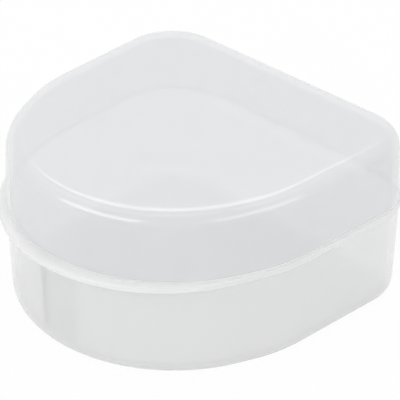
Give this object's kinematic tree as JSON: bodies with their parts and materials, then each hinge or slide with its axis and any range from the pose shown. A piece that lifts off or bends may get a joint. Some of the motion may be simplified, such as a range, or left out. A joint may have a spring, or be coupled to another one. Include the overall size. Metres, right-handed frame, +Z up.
{
  "type": "orthodontic retainer case",
  "caption": "D-shaped hinged box in frosted clear plastic for a dental retainer, with a round nose, a crescent thumb lip, a snap tongue and a knuckle hinge on its flat back.",
  "frame": {"origin": "centre of the base's flat underside, on the D outline's centre, where the case rests on a table", "axes": "+Z up from the table to the lid, +Y to the flat hinged back, -Y to the round nose, X across the width"},
  "size_m": [0.0806, 0.0812, 0.0398],
  "materials": {
    "frosted_base": "natural translucent polypropylene, finely frosted",
    "frosted_lid": "natural translucent polypropylene, smooth satin",
    "pin_plastic": "drawn white plastic rod"
  },
  "bodies": {
    "base_body": {"base": "frosted_base", "hinge_pin": "pin_plastic"},
    "lid_body": {"lid": "frosted_lid"}
  },
  "joints": [
    {"name": "lid_hinge", "type": "hinge", "parent": "base_body", "child": "lid_body", "pos_m": [0, 0.0392, 0.0227], "axis": [-1, 0, 0], "range_deg": [0, 180]}
  ]
}
